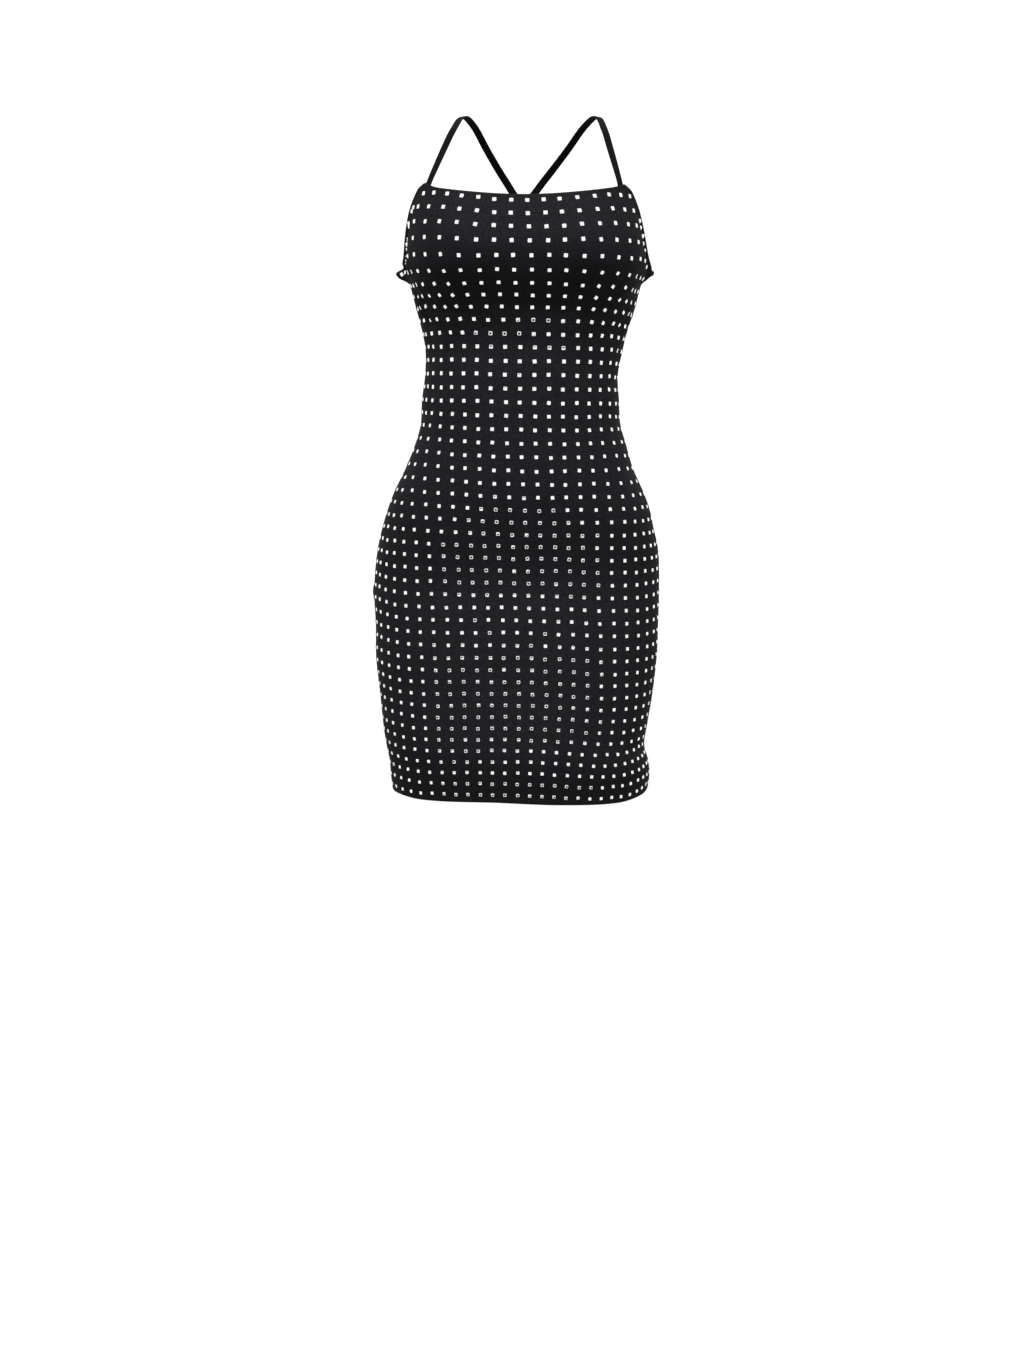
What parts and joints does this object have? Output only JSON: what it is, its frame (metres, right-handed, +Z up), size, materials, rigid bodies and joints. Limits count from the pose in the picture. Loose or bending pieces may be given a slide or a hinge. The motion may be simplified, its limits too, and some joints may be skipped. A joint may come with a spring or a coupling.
{
  "type": "bodycon dress",
  "caption": "Sleeveless stretch-knit mini dress in its worn shape: hollow studded front and back panels, square neckline, scooped back, crossed narrow straps.",
  "frame": {"origin": "midway between the tops of the two shoulder straps, where the wearer's shoulders carry the dress", "axes": "+Z up, the front faces -Y, the wearer's right side is -X"},
  "size_m": [0.3249, 0.2376, 0.7729],
  "materials": {
    "stretch_knit": "matte fine knit",
    "strap_tube": "matte knit tube",
    "stud_metal": "polished silver"
  },
  "bodies": {
    "root": {"front": "stretch_knit", "back": "stretch_knit", "strap_right": "strap_tube", "strap_left": "strap_tube"}
  },
  "joints": []
}
